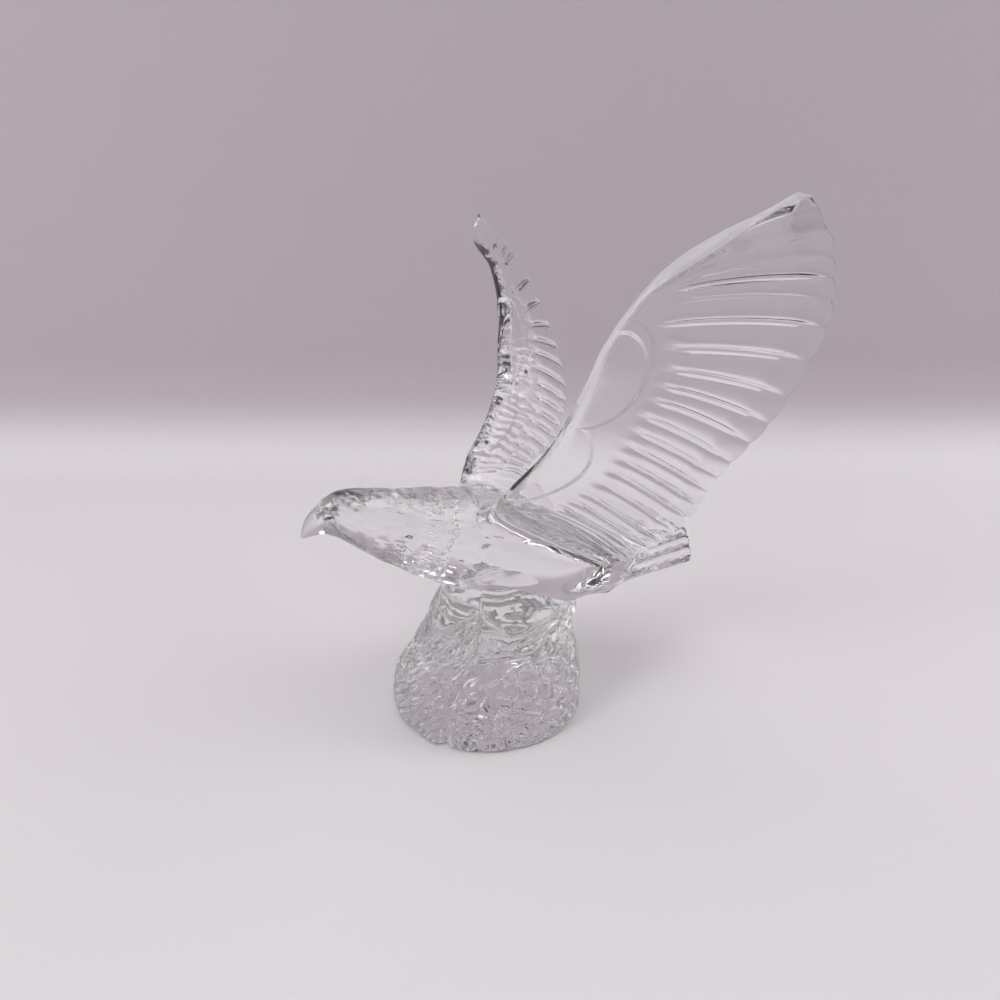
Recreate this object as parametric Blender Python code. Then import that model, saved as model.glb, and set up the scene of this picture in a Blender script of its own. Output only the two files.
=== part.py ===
"""Crystal eagle figurine with raised wings, pressed in one piece with its rock.

Metres, +Z up. The ground is z = 0 and the origin is the middle of the rock's underside.
The bird faces -Y and its left wing is on +X. Each part of the form is a closed mesh made
from a grid, and Boolean unions join them into the one solid crystal_eagle.
"""

import bmesh
import bpy
import numpy as np

# Driving sizes, in metres.
OVERALL_HEIGHT = 0.1395
ROCK_WIDTH = 0.0560
ROCK_LENGTH = 0.0565
ROCK_HEIGHT = 0.0420
ROCK_RELIEF = 0.0011
FOOT_BEVEL = 0.0010
WING_ROOT_THICKNESS = 0.0065
WING_TIP_THICKNESS = 0.0030
WING_TRAILING_THICKNESS = 0.0020
FLUTE_DEPTH = 0.0006
INNER_FLUTE_DEPTH = 0.0003
FLUTE_SCALLOP = 0.0006
COVERT_RELIEF = 0.0006
TAIL_WIDTH = 0.0350
TAIL_LENGTH = 0.0305
TAIL_ROOT_THICKNESS = 0.0085
TAIL_END_THICKNESS = 0.0024
TAIL_SIDE_THINNING = 0.35
TAIL_GROOVE_DEPTH = 0.0005
EYE_RADIUS = 0.0013
FILLET_SIZE = 0.0026
FILLET_REACH = 0.0042

# Counts.
TAIL_FEATHERS = 7

# Wing edges from root to tip, as shares of OVERALL_HEIGHT: x, y, z of the leading edge, then of the
# trailing edge, which a straight chord joins.
WING_CHORDS = np.array(
    [
        [0.050, -0.036, 0.418, 0.045, 0.234, 0.287],
        [0.097, -0.017, 0.485, 0.250, 0.192, 0.410],
        [0.148, 0.055, 0.585, 0.280, 0.263, 0.469],
        [0.179, 0.088, 0.660, 0.310, 0.309, 0.568],
        [0.214, 0.103, 0.727, 0.406, 0.324, 0.690],
        [0.244, 0.118, 0.792, 0.513, 0.294, 0.832],
        [0.333, 0.129, 0.878, 0.563, 0.240, 0.927],
        [0.473, 0.129, 0.939, 0.577, 0.205, 0.971],
        [0.570, 0.173, 0.996, 0.578, 0.184, 0.993],
    ]
)
WING_CAMBER = 0.045
WING_THICKNESS_TAPER = 0.6
WING_NOSE_LIMIT = 0.3

# Where the flutes begin: share along the wing, then share of the chord from its leading edge.
FLUTE_STARTS = np.array(
    [
        [0.000, 0.30],
        [0.125, 0.30],
        [0.250, 0.36],
        [0.375, 0.38],
        [0.500, 0.34],
        [0.625, 0.20],
        [0.750, 0.12],
        [0.875, 0.20],
        [1.000, 0.40],
    ]
)
FLUTE_LEAD_IN = 0.34
FLUTE_ROUNDNESS = 2.4
RIDGE_SWEEP = 1.5

# The ridges between the flutes: share along the wing at the leading and the trailing edge.
FLUTE_RIDGES = np.array(
    [
        [0.120, 0.078],
        [0.148, 0.103],
        [0.176, 0.133],
        [0.201, 0.162],
        [0.224, 0.193],
        [0.256, 0.234],
        [0.291, 0.271],
        [0.325, 0.305],
        [0.360, 0.338],
        [0.396, 0.370],
        [0.436, 0.404],
        [0.478, 0.447],
        [0.512, 0.487],
        [0.546, 0.532],
        [0.590, 0.582],
        [0.650, 0.631],
        [0.700, 0.672],
        [0.728, 0.710],
        [0.750, 0.752],
        [0.776, 0.825],
    ]
)

# Smooth covert lobes on the leading edge of the outer face: centre and half length along the
# wing, and reach across it, all as shares.
COVERT_LOBES = ((0.505, 0.155, 0.30), (0.258, 0.113, 0.28))
PLAIN_EDGE = 0.06
LOBE_STEP = 0.03

# The body's vertical sections from beak to rump, as shares of OVERALL_HEIGHT: y, top, underside,
# half width, and how far up from the underside it is widest.
BODY_SECTIONS = np.array(
    [
        [-0.365, 0.432, 0.422, 0.003, 0.50],
        [-0.355, 0.459, 0.423, 0.009, 0.50],
        [-0.334, 0.481, 0.427, 0.017, 0.50],
        [-0.315, 0.496, 0.424, 0.026, 0.52],
        [-0.292, 0.505, 0.412, 0.039, 0.55],
        [-0.252, 0.506, 0.380, 0.054, 0.55],
        [-0.206, 0.501, 0.346, 0.066, 0.54],
        [-0.131, 0.493, 0.302, 0.085, 0.52],
        [-0.040, 0.481, 0.264, 0.104, 0.48],
        [0.050, 0.448, 0.234, 0.113, 0.44],
        [0.131, 0.405, 0.217, 0.109, 0.44],
        [0.212, 0.358, 0.226, 0.093, 0.46],
        [0.287, 0.324, 0.252, 0.066, 0.50],
        [0.347, 0.318, 0.290, 0.028, 0.50],
    ]
)
BODY_SQUARENESS = 2.2

# The eye: y and z as shares of OVERALL_HEIGHT.
EYE_PLACE = (-0.268, 0.465)

# The tail fan: y of its root, z of its middle at the root and at the end, how far its end
# bulges, and how far its corners droop, as shares of OVERALL_HEIGHT.
TAIL_ROOT_Y = 0.186
TAIL_ROOT_Z = 0.277
TAIL_END_Z = 0.332
TAIL_END_BULGE = 0.053
TAIL_DROOP = 0.020
TAIL_ROOT_WIDTH_SHARE = 0.55
TAIL_THICKNESS_TAPER = 0.7
TAIL_END_ROUNDNESS = 1.5

# The rock's level rings, bottom to top: height as a share of ROCK_HEIGHT, half length to the
# front and to the back as shares of ROCK_LENGTH, and half width as a share of ROCK_WIDTH.
ROCK_RINGS = np.array(
    [
        [0.00, 0.500, 0.490, 0.500],
        [0.20, 0.500, 0.478, 0.490],
        [0.36, 0.418, 0.475, 0.440],
        [0.55, 0.340, 0.448, 0.380],
        [0.74, 0.285, 0.482, 0.330],
        [1.00, 0.225, 0.455, 0.280],
    ]
)

# Lines on the rock: bearing from the front, -1, to the back, 1, then share of ROCK_HEIGHT.
# They are the ridge over the pebbles, the lower edge of the thigh and the top of the blades.
RIDGE_LINE = np.array(
    [
        [-1.00, 0.00],
        [-0.55, 0.14],
        [-0.47, 0.27],
        [-0.38, 0.41],
        [-0.21, 0.47],
        [0.03, 0.52],
        [0.24, 0.56],
        [0.52, 0.65],
        [0.75, 0.76],
        [1.00, 0.80],
    ]
)
THIGH_LINE = np.array(
    [
        [-1.00, 0.86],
        [-0.37, 0.88],
        [-0.29, 0.79],
        [-0.13, 0.73],
        [0.05, 0.68],
        [0.25, 0.71],
        [0.50, 0.75],
        [1.00, 0.82],
    ]
)
BLADE_TOP = np.array(
    [
        [-1.00, 0.60],
        [-0.81, 0.66],
        [-0.61, 0.76],
        [-0.37, 0.85],
        [1.00, 0.86],
    ]
)

# The side of the blades: share of ROCK_HEIGHT, then bearing.
BLADE_SIDE = np.array(
    [
        [0.00, -0.50],
        [0.23, -0.47],
        [0.38, -0.46],
        [0.45, -0.41],
        [0.57, -0.33],
        [0.85, -0.33],
        [1.00, -0.36],
    ]
)

# Two leaf-shaped lumps on the rock: bearing and level of the middle, and half length.
LEAVES = ((0.26, 0.665, 0.20), (0.16, 0.598, 0.14))
LEAF_SLOPE = 0.14
LEAF_HALF_WIDTH = 0.04
LEAF_RELIEF = 0.6

# The rock's carving: how wide the borders between its forms are, how far the thigh, the blades
# and the pebbles stand out, and the waves across the last two, as shares.
CARVING_BORDER = 0.08
THIGH_RELIEF = 0.75
MASS_RELIEF = 0.65
WAVE_RELIEF = 0.40
BLADE_WAVES = 3.4
BLADE_SLOPE = 0.8
PEBBLE_WAVES = (2.3, 2.6)
RELIEF_FADE = 0.15

# How finely each form is divided. A flute takes four stations, from one ridge to the next.
FLUTE_STEPS = (0.0, 0.25, 0.50, 0.75)
ROOT_STATIONS = (0.0, 0.30, 0.55, 0.78)
TIP_STATIONS = (0.4, 0.75, 1.0)
BODY_STATIONS = 30
HEAD_CROWDING = 1.15
BODY_SIDES = 24
TAIL_POINTS_PER_FEATHER = 3
TAIL_STATIONS = 6
ROCK_STATIONS = 17
ROCK_SIDES = 60
SHARP_ANGLE = np.radians(38)


def smooth_curve(rows, at):
    """Catmull-Rom curve through the rows, spaced evenly over 0 to 1, read at each value."""
    rows = np.asarray(rows, float)
    padded = np.vstack([2 * rows[0] - rows[1], rows, 2 * rows[-1] - rows[-2]])
    place = np.clip(np.asarray(at, float), 0, 1) * (len(rows) - 1)
    first = np.minimum(place.astype(int), len(rows) - 2)
    t = (place - first)[..., None]
    a, b, c, d = (padded[first + step] for step in range(4))
    return b + t / 2 * (c - a + t * (2 * a - 5 * b + 4 * c - d + t * (3 * (b - c) + d - a)))


def curve_over(rows, at):
    """smooth_curve read by the rows' first column, which rises and needn't be even."""
    rows = np.asarray(rows, float)
    share = np.interp(at, rows[:, 0], np.linspace(0, 1, len(rows)))
    return smooth_curve(rows[:, 1:], share)


def smooth_step(value):
    """0 below 0, 1 above 1, and an S-shaped rise between."""
    t = np.clip(value, 0, 1)
    return t * t * (3 - 2 * t)


def closed_grid(name, rings):
    """Closed mesh from rings of points skinned one after another, with a cap at each end."""
    count, sides = rings.shape[:2]
    shape = bmesh.new()
    corners = [shape.verts.new(point) for point in rings.reshape(-1, 3)]
    for ring in range(count - 1):
        for side in range(sides):
            after = (side + 1) % sides
            low, high = ring * sides, (ring + 1) * sides
            quad = (low + side, low + after, high + after, high + side)
            shape.faces.new([corners[corner] for corner in quad])
    shape.faces.new(corners[:sides][::-1])
    shape.faces.new(corners[-sides:])
    bmesh.ops.recalc_face_normals(shape, faces=shape.faces)
    mesh = bpy.data.meshes.new(name)
    shape.to_mesh(mesh)
    shape.free()
    made = bpy.data.objects.new(name, mesh)
    bpy.context.scene.collection.objects.link(made)
    return made


def body_distance(points):
    """How far points lie from the body's surface, under 0 inside, along the line through the
    point from the middle of the body's section at the same y."""
    rows = smooth_curve(BODY_SECTIONS, np.linspace(0, 1, 400))
    y, top, underside, half_width, widest = rows.T
    waist = underside + widest * (top - underside)
    top, underside, half_width, waist = (
        np.interp(points[..., 1], OVERALL_HEIGHT * y, OVERALL_HEIGHT * row)
        for row in (top, underside, half_width, waist)
    )
    up = points[..., 2] - waist
    reach = np.where(up > 0, top - waist, waist - underside)
    sideways = np.abs(points[..., 0] / half_width) ** BODY_SQUARENESS
    scale = (sideways + np.abs(up / reach) ** BODY_SQUARENESS) ** (1 / BODY_SQUARENESS)
    return np.hypot(points[..., 0], up) * (1 - 1 / np.maximum(scale, 1e-6))


def fillet_swell(distance):
    """How far a surface swells towards the body: a parabola outside it, fading inside."""
    outside = np.clip(1 - distance / FILLET_REACH, 0, 1) ** 2
    inside = 1 - smooth_step(-distance / FILLET_REACH)
    return FILLET_SIZE * np.where(distance > 0, outside, inside)


def wing_stations():
    """Places along the wing at the leading and trailing edge: the plain root, the steps of
    each flute, and the plain tip. With them, how far each is down into its flute, 0 to 1."""
    first, last = FLUTE_RIDGES[0], FLUTE_RIDGES[-1]
    flutes = len(FLUTE_RIDGES) - 1
    place = np.add.outer(np.arange(flutes), FLUTE_STEPS).ravel()
    number = np.arange(flutes + 1)
    fluted = np.stack([np.interp(place, number, row) for row in FLUTE_RIDGES.T], axis=1)
    root = np.outer(ROOT_STATIONS, first)
    tip = last + np.outer(TIP_STATIONS, 1 - last)
    floor = 1 - np.abs(2 * (place % 1) - 1) ** FLUTE_ROUNDNESS
    floor = np.concatenate([0 * root[:, 0], floor, [0], 0 * tip[:, 0]])
    return np.concatenate([root, fluted, [last], tip]), floor


def covert_edge(along):
    """Share of the chord that the covert lobes cover at a place along the wing."""
    edge = np.full_like(along, PLAIN_EDGE)
    for centre, half, reach in COVERT_LOBES:
        round_part = np.clip(1 - ((along - centre) / half) ** 2, 0, 1)
        edge = np.maximum(edge, reach * np.sqrt(round_part))
    return edge


def wing_rings():
    """Closed sections of the left wing from its root, inside the body, to its tip.

    Half the thickness rises as a round nose from the leading edge, falls evenly to the
    trailing edge, and swells where it meets the body. The covert lobes stand up on the outer
    face, and the flutes sink slowly into both.
    """
    ends, floor = wing_stations()
    start = curve_over(FLUTE_STARTS, ends[:, 0])[:, 0]
    lobe = covert_edge(ends[:, 0])
    begin = np.maximum(start, lobe + 2 * LOBE_STEP)
    middle_in, lead_in = begin + 0.5 * FLUTE_LEAD_IN, begin + FLUTE_LEAD_IN
    lines = [0 * lobe, lobe / 3, lobe, lobe + LOBE_STEP, begin, middle_in, lead_in, 0 * lobe + 1]
    across = np.stack(lines, axis=1)
    along = ends[:, :1] + (ends[:, 1:] - ends[:, :1]) * across**RIDGE_SWEEP
    chords = OVERALL_HEIGHT * smooth_curve(WING_CHORDS, along)
    leading, trailing = chords[..., :3], chords[..., 3:]
    chord = trailing - leading
    length = np.linalg.norm(chord, axis=2)
    middle = leading + chord * across[..., None]
    upper = np.cross(np.gradient(middle, axis=0), chord)
    upper /= np.linalg.norm(upper, axis=2, keepdims=True)
    middle += upper * (WING_CAMBER * length * 4 * across * (1 - across))[..., None]

    tapered = along**WING_THICKNESS_TAPER
    full = WING_ROOT_THICKNESS + (WING_TIP_THICKNESS - WING_ROOT_THICKNESS) * tapered
    nose = np.minimum(0.5 * full / length, WING_NOSE_LIMIT)
    rise = np.sqrt(1 - (1 - np.clip(across / nose, 0, 1)) ** 2)
    half = 0.5 * (full + (WING_TRAILING_THICKNESS - full) * across)
    half = rise * (half + fillet_swell(body_distance(middle)))
    on_lobe = (across > 0) & (across <= lobe[:, None])
    raised = smooth_step(lobe / PLAIN_EDGE - 1)[:, None]
    lobes = COVERT_RELIEF * rise * raised * on_lobe
    sunk = smooth_step((across - begin[:, None]) / FLUTE_LEAD_IN)
    flute = np.maximum(sunk + floor[:, None] - 1, 0)
    middle[:, -1] += FLUTE_SCALLOP * floor[:, None] * (chord / length[..., None])[:, -1]
    lower_side = middle - upper * (half + lobes - FLUTE_DEPTH * flute)[..., None]
    upper_side = middle + upper * (half - INNER_FLUTE_DEPTH * flute)[..., None]
    return np.concatenate([lower_side, upper_side[:, :0:-1]], axis=1)


def body_rings():
    """Rounded vertical sections of the head, neck, back and belly, from the beak backwards."""
    share = np.linspace(0, 1, BODY_STATIONS) ** HEAD_CROWDING
    y, top, underside, half_width, widest = smooth_curve(BODY_SECTIONS, share).T
    turn = 2 * np.pi * np.arange(BODY_SIDES) / BODY_SIDES
    power = 2 / BODY_SQUARENESS
    out = np.sign(np.cos(turn)) * np.abs(np.cos(turn)) ** power
    up = np.sign(np.sin(turn)) * np.abs(np.sin(turn)) ** power
    waist = underside + widest * (top - underside)
    reach = np.where(up > 0, (top - waist)[:, None], (waist - underside)[:, None])
    x = half_width[:, None] * out
    z = waist[:, None] + reach * up
    return OVERALL_HEIGHT * np.stack([x, np.broadcast_to(y[:, None], x.shape), z], axis=2)


def tail_rings():
    """Sections of the tail fan side by side, from its right edge to its left.

    Each goes out along the top and back along the underside. A groove parts each feather
    from the next, and each feather's end is rounded.
    """
    count = TAIL_FEATHERS * TAIL_POINTS_PER_FEATHER + 1
    side = np.linspace(-1, 1, count)[:, None]
    out = np.linspace(0, 1, TAIL_STATIONS)[None, :]
    in_feather = np.arange(count)[:, None] % TAIL_POINTS_PER_FEATHER
    groove = np.where(in_feather == 0, 1.0, 0.0)
    width = TAIL_WIDTH * (TAIL_ROOT_WIDTH_SHARE + (1 - TAIL_ROOT_WIDTH_SHARE) * out)
    x = 0.5 * side * width
    bulge = TAIL_END_BULGE * OVERALL_HEIGHT * (1 - np.abs(side) ** TAIL_END_ROUNDNESS)
    reach = TAIL_LENGTH + bulge - TAIL_GROOVE_DEPTH * groove
    y = TAIL_ROOT_Y * OVERALL_HEIGHT + reach * out
    middle = TAIL_ROOT_Z + (TAIL_END_Z - TAIL_ROOT_Z) * out - TAIL_DROOP * side**2
    taper = out**TAIL_THICKNESS_TAPER
    thick = TAIL_ROOT_THICKNESS + (TAIL_END_THICKNESS - TAIL_ROOT_THICKNESS) * taper
    thick = thick * (1 - TAIL_SIDE_THINNING * side**2)
    half = 0.5 * thick - TAIL_GROOVE_DEPTH * groove * smooth_step(out * 2)
    top = np.stack([x, y, OVERALL_HEIGHT * middle + half], axis=2)
    underside = np.stack([x, y, OVERALL_HEIGHT * middle - half], axis=2)
    return np.concatenate([top, underside[:, ::-1]], axis=1)


def rock_relief(bearing, level):
    """How far the rock stands out, as a share of ROCK_RELIEF, the same on both sides.

    The bearing runs from -1 at the front to 1 at the back, and the level from 0 to 1. Slanting
    blades stand at the front, pebbles lie under a ridge that sweeps up to the back, and the
    smooth thigh lies over both. Between them is a channel with two leaf-shaped lumps on it.
    """
    ridge = curve_over(RIDGE_LINE, bearing)[..., 0]
    thigh_edge = curve_over(THIGH_LINE, bearing)[..., 0]
    blade_top = curve_over(BLADE_TOP, bearing)[..., 0]
    blade_side = curve_over(BLADE_SIDE, level)[..., 0]
    under_ridge = smooth_step((ridge - level) / CARVING_BORDER)
    behind_side = smooth_step((bearing - blade_side) / CARVING_BORDER)
    before_side = smooth_step((blade_side - bearing) / CARVING_BORDER)
    under_top = smooth_step((blade_top - level) / CARVING_BORDER)
    thigh = smooth_step((level - thigh_edge) / CARVING_BORDER)
    slant, reach = level - BLADE_SLOPE * bearing, bearing + BLADE_SLOPE * level
    blades = np.sin(2 * np.pi * (BLADE_WAVES * slant + 0.5 * reach))
    around, upwards = PEBBLE_WAVES
    pebbles = np.sin(2 * np.pi * around * bearing + 1) * np.sin(2 * np.pi * upwards * reach)
    form = before_side * under_top * (MASS_RELIEF + WAVE_RELIEF * blades)
    form = np.maximum(form, under_ridge * behind_side * (MASS_RELIEF + WAVE_RELIEF * pebbles))
    form = np.maximum(form, THIGH_RELIEF * thigh)
    for middle, height, half_length in LEAVES:
        along = bearing - middle
        off = (level - height - LEAF_SLOPE * along) / LEAF_HALF_WIDTH
        leaf = np.sqrt(np.clip(1 - (along / half_length) ** 2 - off**2, 0, 1))
        form = form + LEAF_RELIEF * leaf
    return form


def rock_rings():
    """Level rings of the rock from its flat underside up into the bird's belly."""
    level = np.linspace(0, 1, ROCK_STATIONS - 1)
    level = np.concatenate([[0.0], [FOOT_BEVEL / ROCK_HEIGHT], level[1:]])
    front, back, half_width = curve_over(ROCK_RINGS, level).T
    turn = 2 * np.pi * np.arange(ROCK_SIDES) / ROCK_SIDES
    x, y = np.cos(turn), np.sin(turn)
    bearing = np.arctan2(y, np.abs(x)) / (np.pi / 2)
    relief = ROCK_RELIEF * rock_relief(bearing[None, :], level[:, None])
    relief *= smooth_step((1 - level) / RELIEF_FADE)[:, None]
    inset = np.where(level == 0, FOOT_BEVEL, 0)[:, None]
    reach_y = ROCK_LENGTH * np.where(y < 0, front[:, None], back[:, None])
    reach_x = ROCK_WIDTH * half_width[:, None]
    drop = ROCK_RELIEF + inset - relief
    z = np.broadcast_to(ROCK_HEIGHT * level[:, None], reach_y.shape)
    return np.stack([(reach_x - drop) * x, (reach_y - drop) * y, z], axis=2)


def eye(name, side):
    """Ball half sunk in the head, where the body's section passes the eye's height."""
    y, z = EYE_PLACE
    _, top, underside, half_width, widest = smooth_curve(BODY_SECTIONS, eye_share(y))
    waist = underside + widest * (top - underside)
    up = (z - waist) / (top - waist)
    x = half_width * (1 - up**BODY_SQUARENESS) ** (1 / BODY_SQUARENESS)
    place = OVERALL_HEIGHT * np.array([side * x, y, z])
    shape = bmesh.new()
    bmesh.ops.create_icosphere(shape, subdivisions=2, radius=EYE_RADIUS)
    bmesh.ops.translate(shape, verts=shape.verts, vec=place)
    mesh = bpy.data.meshes.new(name)
    shape.to_mesh(mesh)
    shape.free()
    made = bpy.data.objects.new(name, mesh)
    bpy.context.scene.collection.objects.link(made)
    return made


def eye_share(y):
    """Share along the body's sections at which the body reaches y."""
    share = np.linspace(0, 1, 400)
    return np.interp(y, smooth_curve(BODY_SECTIONS, share)[:, 0], share)


def crystal_material():
    """Clear lead crystal: nearly white, glossy and fully transmitting."""
    material = bpy.data.materials.new("crystal")
    material.use_nodes = True
    shader = material.node_tree.nodes["Principled BSDF"]
    shader.inputs["Base Color"].default_value = (0.93, 0.94, 0.95, 1)
    shader.inputs["Roughness"].default_value = 0.03
    shader.inputs["Metallic"].default_value = 0
    shader.inputs["Transmission Weight"].default_value = 1
    shader.inputs["IOR"].default_value = 1.55
    return material


def mirrored(rings):
    """The same rings on the other side of the bird's middle plane."""
    return rings * np.array([-1, 1, 1])


def main():
    for old in list(bpy.data.objects):
        bpy.data.objects.remove(old)
    eagle = closed_grid("crystal_eagle", body_rings())
    joined = [
        closed_grid("left_wing", wing_rings()),
        closed_grid("right_wing", mirrored(wing_rings())),
        closed_grid("tail_fan", tail_rings()),
        closed_grid("rock", rock_rings()),
        eye("left_eye", 1),
        eye("right_eye", -1),
    ]
    for part in joined:
        part.hide_render = True
        part.display_type = "WIRE"
        union = eagle.modifiers.new(part.name, "BOOLEAN")
        union.operation = "UNION"
        union.solver = "EXACT"
        union.object = part
    eagle.data.materials.append(crystal_material())
    eagle.data.shade_smooth()
    eagle.data.set_sharp_from_angle(angle=SHARP_ANGLE)


main()
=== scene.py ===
"""Crystal eagle figurine with raised wings on its rock, and the pale studio it stands in.

Laid out as a Blender add-on and run as a script. Lengths are in metres, +Z is up, the bird
faces -Y and its left wing is towards +X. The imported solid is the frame: the crystal here is
the same form worked out more finely, and it takes the solid's place.
"""

import bpy
import numpy as np
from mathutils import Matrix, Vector


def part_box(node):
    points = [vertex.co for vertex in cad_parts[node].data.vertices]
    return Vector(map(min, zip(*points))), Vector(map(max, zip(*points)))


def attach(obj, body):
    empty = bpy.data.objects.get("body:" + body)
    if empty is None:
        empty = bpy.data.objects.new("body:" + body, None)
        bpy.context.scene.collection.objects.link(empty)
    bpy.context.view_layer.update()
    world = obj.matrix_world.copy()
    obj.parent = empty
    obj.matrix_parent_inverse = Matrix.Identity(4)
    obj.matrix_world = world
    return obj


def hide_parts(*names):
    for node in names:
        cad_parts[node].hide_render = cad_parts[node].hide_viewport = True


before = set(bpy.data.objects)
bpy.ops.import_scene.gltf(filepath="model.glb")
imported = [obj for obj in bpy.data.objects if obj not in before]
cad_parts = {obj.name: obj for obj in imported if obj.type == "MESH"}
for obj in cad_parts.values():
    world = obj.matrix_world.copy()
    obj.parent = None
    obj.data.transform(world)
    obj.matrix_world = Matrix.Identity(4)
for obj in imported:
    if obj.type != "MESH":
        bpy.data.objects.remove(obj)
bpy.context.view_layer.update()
NODE_LOW, NODE_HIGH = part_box("crystal_eagle")

bl_info = {
    "name": "Crystal Eagle",
    "version": (1, 0, 0),
    "blender": (4, 5, 0),
    "location": "View3D > Sidebar > Crystal Eagle",
    "description": "Makes a pressed crystal eagle on its rock, and a pale studio round it",
    "category": "Add Mesh",
}

# The crystal stands this far above the floor, so that light gets between the two.
FLOOR_GAP = 0.0003

# Length of a wing from root to tip, by which a share along it becomes a distance.
WING_REACH = 0.105

# The satin band on the left wing, which is rough and has white mixed into its colour as a
# painted highlight on the rim: width of its full part at the leading edge and at the tip,
# and the widths over which it fades out.
SATIN_HIGHLIGHT_WIDTH = 0.0016
SATIN_HIGHLIGHT_FADE = 0.0016
SATIN_HIGHLIGHT_TIP_WIDTH = 0.0010
SATIN_HIGHLIGHT_TIP_FADE = 0.0014

# The white shader, which is frost on the beak and a painted highlight on the left wing's
# satin band: its roughness, and the share of light that still passes.
FROST_AND_HIGHLIGHT_SPREAD = 0.5
FROST_AND_HIGHLIGHT_CLEARNESS = 0.3

# Wing edges from root to tip, as shares of the height: x, y, z of the leading edge, then of
# the trailing edge, which a straight chord joins.
WING_CHORDS = [
    [0.050, -0.036, 0.418, 0.045, 0.234, 0.287],
    [0.097, -0.017, 0.485, 0.250, 0.192, 0.410],
    [0.148, 0.055, 0.585, 0.280, 0.263, 0.469],
    [0.179, 0.088, 0.660, 0.310, 0.309, 0.568],
    [0.214, 0.103, 0.727, 0.406, 0.324, 0.690],
    [0.244, 0.118, 0.792, 0.513, 0.294, 0.832],
    [0.333, 0.129, 0.878, 0.563, 0.240, 0.927],
    [0.473, 0.129, 0.939, 0.577, 0.205, 0.971],
    [0.570, 0.173, 0.996, 0.578, 0.184, 0.993],
]
WING_CAMBER = 0.045

# Where the flutes begin: share along the wing, then share of the chord.
FLUTE_STARTS = [
    [0.000, 0.30],
    [0.125, 0.30],
    [0.250, 0.36],
    [0.375, 0.38],
    [0.500, 0.30],
    [0.625, 0.14],
    [0.750, 0.08],
    [0.875, 0.14],
    [1.000, 0.36],
]

# The ridges between the flutes: share along the wing at the leading and the trailing edge,
# and height as a share of the flutes' depth.
FLUTE_RIDGES = [
    [0.120, 0.078, 1.0],
    [0.148, 0.103, 1.0],
    [0.176, 0.133, 1.0],
    [0.201, 0.162, 1.0],
    [0.224, 0.193, 1.0],
    [0.256, 0.234, 1.0],
    [0.291, 0.271, 1.0],
    [0.325, 0.305, 1.0],
    [0.360, 0.338, 1.0],
    [0.396, 0.370, 1.0],
    [0.436, 0.404, 1.0],
    [0.478, 0.447, 1.0],
    [0.512, 0.487, 1.0],
    [0.546, 0.532, 1.0],
    [0.590, 0.582, 1.0],
    [0.650, 0.631, 0.9],
    [0.700, 0.672, 0.4],
    [0.728, 0.710, 0.8],
    [0.750, 0.752, 0.4],
    [0.776, 0.825, 0.9],
]

# Covert lobes: centre and half length along the wing, and reach across it, as shares.
COVERT_LOBES = ((0.505, 0.155, 0.30), (0.258, 0.113, 0.28))
PLAIN_EDGE = 0.06

# The body's vertical sections from beak to rump, as shares of the height: y, top, underside,
# half width, and how far up from the underside it is widest.
BODY_SECTIONS = [
    [-0.365, 0.432, 0.422, 0.003, 0.50],
    [-0.355, 0.459, 0.423, 0.009, 0.50],
    [-0.334, 0.481, 0.427, 0.017, 0.50],
    [-0.315, 0.496, 0.424, 0.026, 0.52],
    [-0.292, 0.505, 0.412, 0.039, 0.55],
    [-0.252, 0.506, 0.380, 0.054, 0.55],
    [-0.206, 0.501, 0.346, 0.066, 0.54],
    [-0.131, 0.493, 0.302, 0.085, 0.52],
    [-0.040, 0.481, 0.264, 0.104, 0.48],
    [0.050, 0.448, 0.234, 0.113, 0.44],
    [0.131, 0.405, 0.217, 0.109, 0.44],
    [0.212, 0.358, 0.226, 0.093, 0.46],
    [0.287, 0.324, 0.252, 0.066, 0.50],
    [0.347, 0.318, 0.290, 0.028, 0.50],
]
BODY_SQUARENESS = 2.2

# The tail fan, as shares of the height.
TAIL_ROOT_Y = 0.186
TAIL_ROOT_Z = 0.277
TAIL_END_Z = 0.332
TAIL_END_BULGE = 0.053
TAIL_DROOP = 0.020
TAIL_ROOT_WIDTH_SHARE = 0.55

# The rock's level rings: height, front, back and half width, as shares of its own sizes.
ROCK_RINGS = [
    [0.00, 0.500, 0.490, 0.500],
    [0.20, 0.500, 0.478, 0.490],
    [0.36, 0.418, 0.475, 0.440],
    [0.55, 0.340, 0.448, 0.380],
    [0.74, 0.285, 0.482, 0.330],
    [1.00, 0.225, 0.455, 0.280],
]

# Lines on the rock: bearing from the front, -1, to the back, 1, then level as a share of its
# height. The ridge over the pebbles, the lower edge of the thigh, the top of the blades.
RIDGE_LINE = [
    [-1.00, 0.00],
    [-0.55, 0.14],
    [-0.47, 0.27],
    [-0.38, 0.41],
    [-0.21, 0.47],
    [0.03, 0.52],
    [0.24, 0.56],
    [0.52, 0.65],
    [0.75, 0.76],
    [1.00, 0.80],
]
THIGH_LINE = [
    [-1.00, 0.86],
    [-0.37, 0.88],
    [-0.29, 0.79],
    [-0.13, 0.73],
    [0.05, 0.68],
    [0.25, 0.71],
    [0.50, 0.75],
    [1.00, 0.82],
]
BLADE_TOP = [
    [-1.00, 0.60],
    [-0.81, 0.66],
    [-0.61, 0.76],
    [-0.37, 0.85],
    [1.00, 0.86],
]

# The soft boxes: name, place, width and height, and power in watts.
LIGHTS = (
    ("ceiling_light", (0.15, 0.0, 1.45), (1.6, 1.6), 12.4),
    ("left_light", (0.10, -0.85, 0.45), (0.9, 0.8), 1.6),
    ("right_light", (0.10, 0.85, 0.45), (0.9, 0.8), 5.2),
    ("window_light", (0.25, -0.75, 0.45), (0.25, 0.35), 1.6),
)

# The side of the blades: level, then bearing.
BLADE_SIDE = [
    [0.00, -0.50],
    [0.23, -0.47],
    [0.38, -0.46],
    [0.45, -0.41],
    [0.57, -0.33],
    [0.85, -0.33],
    [1.00, -0.36],
]


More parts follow.
